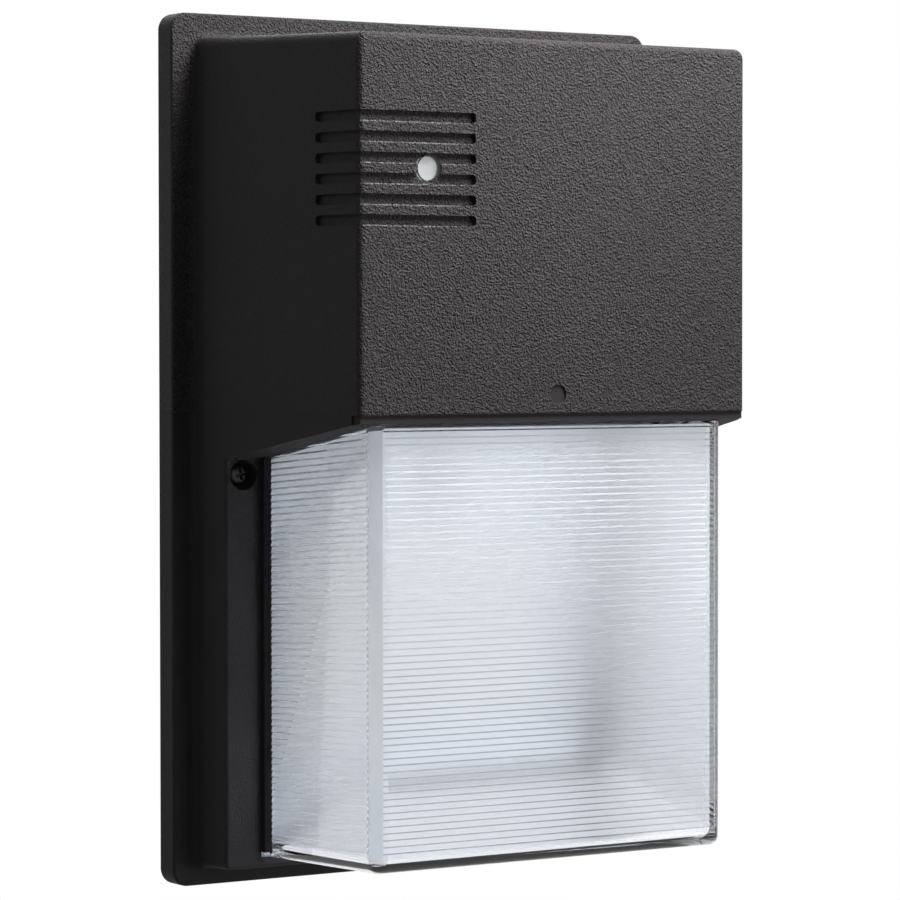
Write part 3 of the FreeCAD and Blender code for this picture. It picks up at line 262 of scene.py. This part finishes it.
# For each material slot of the record: the finish's name, colour, roughness and metal,
# its grain and relief in mm, how far its tone varies, and for one its specular level.
PLAIN_FINISHES = {
    "black_foam": ("foam", (0.030, 0.030, 0.030), 0.90, 0.0, 0.5, 0.30, 0.30),
    "black_silicone": ("silicone", (0.007, 0.007, 0.007), 0.70, 0.0, 0.8, 0.04, 0.20, 0.15),
    "black_plastic": ("black_plastic", (0.028, 0.028, 0.029), 0.45, 0.0, 0.6, 0.04, 0.15),
    "black_steel": ("black_steel", (0.030, 0.030, 0.032), 0.38, 0.85, 0.35, 0.03, 0.30),
    "cast_aluminium": ("cast_aluminium", (0.60, 0.61, 0.63), 0.48, 0.90, 0.9, 0.08, 0.12),
    "zinc_steel": ("zinc_steel", (0.62, 0.63, 0.62), 0.30, 0.95, 0.5, 0.02, 0.10),
    "green_steel": ("green_steel", (0.05, 0.30, 0.10), 0.35, 0.60, 0.5, 0.02, 0.20),
    "tinned_copper": ("tinned_copper", (0.70, 0.68, 0.62), 0.34, 0.95, 0.6, 0.02, 0.12),
    "white_sheet": ("white_paint", (0.88, 0.90, 0.93), 0.42, 0.0, 1.6, 0.05, 0.03),
    "white_board": ("solder_mask", (0.84, 0.85, 0.85), 0.35, 0.0, 0.7, 0.02, 0.03),
    "phosphor": ("phosphor", (0.92, 0.80, 0.34), 0.40, 0.0, 0.3, 0.02, 0.06),
    "grey_pad": ("thermal_pad", (0.44, 0.46, 0.49), 0.80, 0.0, 0.7, 0.06, 0.08),
    "grey_potting": ("potting", (0.20, 0.20, 0.20), 0.55, 0.0, 1.2, 0.10, 0.15),
    "sensor_grey": ("sensor_face", (0.32, 0.325, 0.33), 0.40, 0.0, 0.5, 0.01, 0.03),
    "white_plastic": ("white_plastic", (0.83, 0.83, 0.81), 0.42, 0.0, 0.9, 0.03, 0.04),
    "natural_nylon": ("nylon", (0.80, 0.78, 0.70), 0.50, 0.0, 0.6, 0.02, 0.05),
    "orange_plastic": ("orange_plastic", (0.85, 0.33, 0.05), 0.42, 0.0, 0.8, 0.03, 0.08),
    "black_insulation": ("black_pvc", (0.028, 0.028, 0.028), 0.42, 0.0, 0.5, 0.03, 0.15),
    "white_insulation": ("white_pvc", (0.83, 0.83, 0.82), 0.42, 0.0, 0.5, 0.03, 0.04),
    "red_insulation": ("red_pvc", (0.60, 0.035, 0.03), 0.42, 0.0, 0.5, 0.03, 0.08),
    "green_insulation": ("green_pvc", (0.045, 0.34, 0.10), 0.42, 0.0, 0.5, 0.03, 0.08),
}


def plain_finish(name, colour, rough, metal, grain, relief, vary, shine=None):
    """A moulded, painted or bare surface: cloudy tone, uneven gloss and a fine relief."""
    finish = Finish(name, rough, metal)
    if shine is not None:
        finish.shader.inputs["Specular IOR Level"].default_value = shine
    fine = finish.noise(grain, 3.0)
    broad = finish.span(finish.noise(grain * 12.0), 0.3, 0.7, 0.0, 1.0)
    dark, light = shade(colour, 1.0 - vary), shade(colour, 1.0 + vary)
    speck = finish.blend(finish.span(fine, 0.35, 0.65, 0.0, 0.35),
                         finish.blend(broad, dark, light), dark)
    gloss = finish.span(fine, 0.3, 0.7, max(0.05, rough - 0.08), min(1.0, rough + 0.08))
    finish.wear(speck, gloss, finish.bump(fine, 0.4, relief))
    return finish.material


LENS_COOL = (0.925, 0.95, 0.99)
LENS_PALE = (0.945, 0.965, 1.0)
LENS_MEAN = (0.935, 0.96, 1.0)
LENS_SHADOW = (0.90, 0.91, 0.93)


def clear_lens(name, rough, clear=1.0, rough_high=None, tint=None):
    """Clear or slightly milky plastic, whose roughness may change from low to high. A tint, if
    given, darkens the colour as painted shade, from one factor low to another high.
    """
    lens = Finish(name, rough=rough)
    lens.shader.inputs["Transmission Weight"].default_value = clear
    lens.shader.inputs["IOR"].default_value = 1.54
    height = lens.axes()[2]
    if rough_high is not None:
        lens.wear(rough=lens.span(height, -95.0 * MM, -30.0 * MM, rough, rough_high))
    if tint is None:
        colour = lens.blend(lens.noise(9.0), LENS_COOL, LENS_PALE)
    else:
        # Painted shade: the tint darkens the plastic's colour by a factor that goes from low to
        # high.
        level = lens.span(height, -75.0 * MM, -10.0 * MM, 0.0, 1.0)
        colour = lens.blend(level, *(shade(LENS_MEAN, factor) for factor in tint))
    lens.wear(colour=colour, normal=lens.bump(lens.noise(2.5), 0.25, 0.05))
    lens.let_lamps_through(LENS_SHADOW)
    return lens.material


def clear_cap():
    """The photocell's window."""
    cap = Finish("clear_cap", rough=0.08)
    cap.shader.inputs["Transmission Weight"].default_value = 1.0
    cap.shader.inputs["IOR"].default_value = 1.49
    cloud = cap.noise(1.5)
    cap.wear(colour=cap.blend(cloud, (0.94, 0.94, 0.94), (0.99, 0.99, 0.99)),
             normal=cap.bump(cloud, 0.2, 0.02))
    cap.let_lamps_through((1.0, 1.0, 1.0))
    return cap.material


def make_finishes():
    """One finish for each material slot of the record."""
    finishes = {slot: plain_finish(*row) for slot, row in PLAIN_FINISHES.items()}
    finishes["textured_charcoal_coat"] = leather_coat()
    finishes["clear_prismatic_plastic"] = clear_lens("clear_prismatic", 0.04)
    finishes["clear_cap"] = clear_cap()
    return finishes


def dress_nodes(finishes):
    for node in nodes.values():
        for slot in node.material_slots:
            slot.material = finishes[slot.material.name.split(".")[0]]


# ---------------------------------------------------------------- mesh helpers

def deselect_all():
    for thing in bpy.context.selected_objects:
        thing.select_set(False)


def select_only(piece):
    deselect_all()
    piece.select_set(True)
    bpy.context.view_layer.objects.active = piece


def box_primitive(name, low, high):
    """A box between two corners in millimetres, given as (x, depth, z)."""
    deselect_all()
    corners = [Vector((x, -depth, z)) * MM for x, depth, z in (low, high)]
    bpy.ops.mesh.primitive_cube_add(size=1.0, location=(corners[0] + corners[1]) / 2)
    piece = bpy.context.object
    piece.name = name
    piece.data.name = name
    piece.scale = [abs(value) for value in corners[1] - corners[0]]
    bpy.ops.object.transform_apply(location=True, rotation=True, scale=True)
    return piece


def pick(piece, kind, test, facing=None):
    """In edit mode, select the vertices, edges or faces whose middle, in (x, depth, z) mm,
    passes a test. Faces may also be tested by their normal."""
    bpy.ops.mesh.select_mode(type=kind)
    bpy.ops.mesh.select_all(action="DESELECT")
    mesh = bmesh.from_edit_mesh(piece.data)
    for item in {"VERT": mesh.verts, "EDGE": mesh.edges, "FACE": mesh.faces}[kind]:
        if kind == "VERT":
            middle = item.co
        elif kind == "EDGE":
            middle = (item.verts[0].co + item.verts[1].co) / 2
        else:
            middle = item.calc_center_median()
        if test(middle.x / MM, -middle.y / MM, middle.z / MM):
            item.select = facing is None or facing(item.normal)
    mesh.select_flush_mode()
    bmesh.update_edit_mesh(piece.data)


def shift(x=0.0, depth=0.0, z=0.0):
    """Move what is selected, in millimetres."""
    bpy.ops.transform.translate(value=(x * MM, -depth * MM, z * MM))


def cut_by(piece, tool, operation):
    """Join or cut a piece with another and drop the other."""
    select_only(piece)
    modifier = piece.modifiers.new("cut", "BOOLEAN")
    modifier.operation = operation
    modifier.solver = "EXACT"
    modifier.object = tool
    bpy.ops.object.modifier_apply(modifier=modifier.name)
    bpy.data.objects.remove(tool)


# ---------------------------------------------------------------- lens
# Millimetres. A depth is measured out from the wall.

LENS_BACK = 16.5
RIM_FRONT = 19.0
LEDGE = 22.7
LENS_FRONT = 81.4
LENS_HALF = 62.3
SIDE_DRAFT = 0.2
LENS_RADIUS = 3.0
LENS_WALL = 2.6
TOP_WALL = 0.9
HOLLOW_RADIUS = 3.0
HOLLOW_FRONT = LENS_FRONT - LENS_WALL
MIDDLE = -60.0            # a level between the lens's top and its underside

RIM_HALF = 67.2
RIM_TOP = 1.0
RIM_BOTTOM = -122.0
SCREW_SIDE = 70.7
SCREW_HEIGHT = -7.0
SCREW_NOTCH = 6.0

RIB_PITCH = 1.95
RIB_REACH = 0.52
RIB_STEP = 0.45
RIB_END = 0.3
RIB_BACK = LEDGE + 0.8
FIRST_RIB = 5.6           # above the underside
FALL_LOW = 0.030
FALL_HIGH = 0.085
FLAT_HALF = LENS_HALF - SIDE_DRAFT - LENS_RADIUS
FLAT_FRONT = LENS_FRONT - LENS_RADIUS


def lens_top(depth):
    return 11.4 / 61.3 * (depth - LEDGE) - 2.4


def lens_bottom(depth):
    return 1.5 / 58.7 * (depth - LEDGE) - 121.4


def lens_side(depth):
    return LENS_HALF - SIDE_DRAFT * (depth - LENS_BACK) / (LENS_FRONT - LENS_BACK)


def tapered_bowl(name, front, inset, radius):
    """A closed box with the bowl's slopes, drawn in by an inset, with rounded front corners and
    bottom edges. An inset one starts behind the lens, to open its back."""
    back = LENS_BACK - (1.0 if inset else 0.0)
    piece = box_primitive(name, (-1.0, back, MIDDLE - 1.0), (1.0, front, MIDDLE + 1.0))
    bpy.ops.object.mode_set(mode="EDIT")
    for depth in (back, front):
        for right in (True, False):
            for upper in (True, False):
                pick(piece, "VERT", lambda x, d, z: abs(d - depth) < 0.5 and (x > 0) == right
                     and (z > MIDDLE) == upper)
                out = lens_side(depth) - inset - 1.0
                if upper:
                    rise = lens_top(depth) - min(inset, TOP_WALL) - MIDDLE - 1.0
                else:
                    rise = lens_bottom(depth) + inset - MIDDLE + 1.0
                shift(x=out if right else -out, z=rise)
    low = lens_bottom(front) + inset + 0.01

    def rounded(x, d, z):
        upright = abs(x) > 50 and d > front - 0.5
        return d > back + 1 and (upright or z < low)

    pick(piece, "EDGE", rounded)
    bpy.ops.mesh.bevel(offset=radius * MM, segments=6, profile=0.5)
    bpy.ops.object.mode_set(mode="OBJECT")
    return piece


def rib_fall(z):
    """How fast a rib drops along the side, from the front back: most at the top."""
    part = (z - lens_bottom(LENS_FRONT)) / (lens_top(LENS_FRONT) - lens_bottom(LENS_FRONT))
    return FALL_LOW + (FALL_HIGH - FALL_LOW) * part


def add_ribs(piece):
    """Saw-tooth ribs across the front and the two sides. Each face leans out downwards to a
    crest and steps back below it, to its root."""
    ribs = []
    z = lens_bottom(LENS_FRONT) + FIRST_RIB
    while z < lens_top(LENS_FRONT) - RIB_STEP - 0.1:
        ribs.append((z, rib_fall(z)))
        z += RIB_PITCH
    cuts = [((0, -LENS_FRONT * MM, (root + rise) * MM), (0, fall, 1))
            for root, fall in ribs for rise in (0.0, RIB_STEP)]
    cuts += [((side * (FLAT_HALF - RIB_END) * MM, 0, 0), (1, 0, 0)) for side in (-1, 1)]
    cuts += [((0, -depth * MM, 0), (0, 1, 0)) for depth in (RIB_BACK, FLAT_FRONT - RIB_END)]
    bpy.ops.object.mode_set(mode="EDIT")
    for place, normal in cuts:
        bpy.ops.mesh.select_all(action="SELECT")
        bpy.ops.mesh.bisect(plane_co=place, plane_no=normal)

    def on_crest(d, z):
        return any(abs(z - root - RIB_STEP + fall * (LENS_FRONT - d)) < 0.02
                   for root, fall in ribs)

    pick(piece, "VERT", lambda x, d, z: d > LENS_FRONT - 0.01
         and abs(x) < FLAT_HALF - RIB_END + 0.02 and on_crest(d, z))
    shift(depth=RIB_REACH)
    for side in (-1, 1):
        pick(piece, "VERT", lambda x, d, z: x * side > lens_side(d) - 0.02
             and RIB_BACK - 0.1 < d < FLAT_FRONT - RIB_END + 0.02 and on_crest(d, z))
        shift(x=RIB_REACH * side)
    bpy.ops.object.mode_set(mode="OBJECT")


def inside_front(x, d, z):
    return abs(d - HOLLOW_FRONT) < 0.05 and abs(x) < LENS_HALF - LENS_WALL - HOLLOW_RADIUS


def inside_wall(x, d, z):
    """The hollow's side walls and upright corners."""
    wall = lens_side(d) - LENS_WALL
    side = abs(abs(x) - wall) < 0.2
    corner = abs(x) > wall - HOLLOW_RADIUS and d > HOLLOW_FRONT - HOLLOW_RADIUS
    within = LENS_BACK < d < HOLLOW_FRONT - 0.02 and z < lens_top(d) - TOP_WALL - 0.1
    return (side or corner) and within and abs(x) < wall + 0.05


def inside_top(x, d, z):
    return abs(z - lens_top(d) + TOP_WALL) < 0.1 and abs(x) < LENS_HALF - LENS_WALL \
        and d > LENS_BACK


def outside_corner(x, d, z):
    beyond = (abs(x) - lens_side(d) + LENS_RADIUS, d - FLAT_FRONT)
    return min(beyond) > -0.05 and math.hypot(*beyond) > LENS_RADIUS - 0.5


def finish_lens(lens, clear):
    """Clear plastic all over, then other finishes inside, and a darker tint on the outer corners
    and under the ribs as painted shade.
    """
    rows = (
        (clear, lambda x, d, z: True, None),
        (clear_lens("milky_inside", 0.26, 0.85, rough_high=0.5), inside_front, None),
        (clear_lens("frosted_inside", 0.55), inside_wall, None),
        (clear_lens("white_inside", 0.5, 0.3), inside_top, None),
        # Painted shade: the outer rounded corners get a darker tint, to draw a dark outline.
        (clear_lens("corner", 0.04, tint=(0.72, 0.72)), outside_corner, None),
        # Painted shade: the front ribs' downward step faces get a darker tint, darkest low down, to
        # draw dark lines.
        (clear_lens("rib_step_painted_shade", 0.04, tint=(0.35, 0.95)), lambda x, d, z: d > LENS_FRONT,
         lambda normal: normal.z < -0.4),
    )
    lens.data.materials.clear()
    for material, _, _ in rows:
        lens.data.materials.append(material)
    bpy.ops.object.mode_set(mode="EDIT")
    bpy.ops.mesh.select_all(action="SELECT")
    bpy.ops.mesh.remove_doubles(threshold=0.001 * MM)
    bpy.ops.mesh.normals_make_consistent(inside=False)
    for index, (_, test, facing) in enumerate(rows):
        pick(lens, "FACE", test, facing)
        lens.active_material_index = index
        bpy.ops.object.material_slot_assign()
    bpy.ops.object.mode_set(mode="OBJECT")
    bpy.ops.object.shade_smooth_by_angle(angle=math.radians(25))


def make_lens(clear):
    """The ribbed bowl with its rim, hollowed out and notched for the two housing screws."""
    lens = tapered_bowl("lens_ribbed", LENS_FRONT, 0.0, LENS_RADIUS)
    add_ribs(lens)
    rim = box_primitive("rim", (-RIM_HALF, LENS_BACK, RIM_BOTTOM), (RIM_HALF, RIM_FRONT, RIM_TOP))
    cut_by(lens, rim, "UNION")
    hollow = tapered_bowl("hollow", HOLLOW_FRONT, LENS_WALL, HOLLOW_RADIUS)
    cut_by(lens, hollow, "DIFFERENCE")
    for side in (-1, 1):
        deselect_all()
        middle = Vector((side * SCREW_SIDE, -LENS_BACK, SCREW_HEIGHT)) * MM
        bpy.ops.mesh.primitive_cylinder_add(vertices=48, radius=SCREW_NOTCH * MM,
                                            depth=2 * SCREW_NOTCH * MM, location=middle,
                                            rotation=(math.pi / 2, 0, 0))
        cut_by(lens, bpy.context.object, "DIFFERENCE")
    select_only(lens)
    finish_lens(lens, clear)
    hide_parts("lens")
    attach(lens, "fixture")


# ---------------------------------------------------------------- studio

AMBIENT = 0.022
FLOOR_LEVEL = -0.62
FLOOR_RADIUS = 2.8
FLOOR_GLOW = 0.66         # what the pale paper gives off, so that it reads as white
FLOOR_DARK = 0.10         # the floor as the object's unlit sides see it
MIDDLE_OF_LIGHT = (0.0, -0.04, -0.01)


def softbox(name, aim, azimuth, elevation, distance, width, power):
    """A soft lamp that looks at a point. Azimuth 0 is straight in front, positive to the right."""
    turn, rise = math.radians(azimuth), math.radians(elevation)
    level = math.cos(rise)
    towards = Vector((math.sin(turn) * level, -math.cos(turn) * level, math.sin(rise)))
    data = bpy.data.lights.new(name, "AREA")
    data.shape = "SQUARE"
    data.size = width
    data.energy = power
    data.spread = math.radians(120.0)
    lamp = bpy.data.objects.new(name, data)
    bpy.context.scene.collection.objects.link(lamp)
    lamp.location = Vector(aim) + towards * distance
    lamp.visible_camera = False
    lamp.rotation_euler = towards.to_track_quat("Z", "Y").to_euler()


def background(tree, white, other):
    """White where the camera, glass or a mirror sees it, and another level for what lights
    the object."""
    path = tree.nodes.new("ShaderNodeLightPath")
    seen = path.outputs["Is Camera Ray"]
    for name in ("Is Glossy Ray", "Is Transmission Ray"):
        join = tree.nodes.new("ShaderNodeMath")
        join.operation = "MAXIMUM"
        tree.links.new(seen, join.inputs[0])
        tree.links.new(path.outputs[name], join.inputs[1])
        seen = join.outputs[0]
    mix = tree.nodes.new("ShaderNodeMixShader")
    for source, target in zip((seen, other, white), mix.inputs):
        tree.links.new(source, target)
    return mix.outputs[0]


def make_world():
    world = bpy.data.worlds.new("studio")
    bpy.context.scene.world = world
    world.use_nodes = True
    tree = world.node_tree
    ambient = tree.nodes["Background"]
    white = tree.nodes.new("ShaderNodeBackground")
    for node, strength in ((ambient, AMBIENT), (white, 1.0)):
        node.inputs["Color"].default_value = (1.0, 1.0, 1.0, 1.0)
        node.inputs["Strength"].default_value = strength
    surface = background(tree, white.outputs[0], ambient.outputs[0])
    tree.links.new(surface, tree.nodes["World Output"].inputs["Surface"])


def make_floor():
    """Pale paper that fades to white towards its edge."""
    deselect_all()
    bpy.ops.mesh.primitive_circle_add(vertices=96, radius=FLOOR_RADIUS, fill_type="NGON",
                                      location=(0, 0, FLOOR_LEVEL))
    floor = bpy.context.object
    floor.name = "floor"
    bpy.ops.object.transform_apply(location=True, rotation=True, scale=True)
    pale = Finish("floor_paper", rough=0.9)
    pale.shader.inputs["Specular IOR Level"].default_value = 0.1
    pale.shader.inputs["Emission Color"].default_value = (1.0, 1.0, 1.0, 1.0)
    pale.shader.inputs["Emission Strength"].default_value = FLOOR_GLOW
    pale.wear(colour=pale.blend(pale.noise(40.0), (0.56, 0.56, 0.56), (0.60, 0.60, 0.60)))
    dark = pale.add("ShaderNodeBsdfDiffuse")
    dark.inputs["Color"].default_value = (FLOOR_DARK, FLOOR_DARK, FLOOR_DARK, 1.0)
    bright = pale.add("ShaderNodeEmission")
    away = pale.add("ShaderNodeVectorMath", operation="LENGTH")
    pale.join(pale.place, away.inputs[0])
    fade = pale.span(away.outputs["Value"], 0.9, 2.6, 0.0, 1.0)
    white = pale.mixed(fade, pale.shader.outputs[0], bright.outputs[0])
    surface = background(pale.tree, white, dark.outputs[0])
    pale.join(surface, pale.output.inputs["Surface"])
    floor.data.materials.append(pale.material)


def make_studio():
    make_world()
    make_floor()
    softbox("top", (0.0, -0.07, 0.12), 30, 52, 0.26, 0.20, 0.95)
    softbox("side", MIDDLE_OF_LIGHT, 48, -3, 1.7, 0.7, 2.5)
    softbox("left", (-0.08, -0.03, 0.10), -112, 30, 0.5, 0.3, 0.085)
    softbox("rear", MIDDLE_OF_LIGHT, 165, 25, 1.6, 0.9, 5.0)


def main():
    place_camera()
    finishes = make_finishes()
    dress_nodes(finishes)
    make_lens(finishes["clear_prismatic_plastic"])
    make_studio()
    bpy.context.scene.view_settings.view_transform = "Standard"


main()
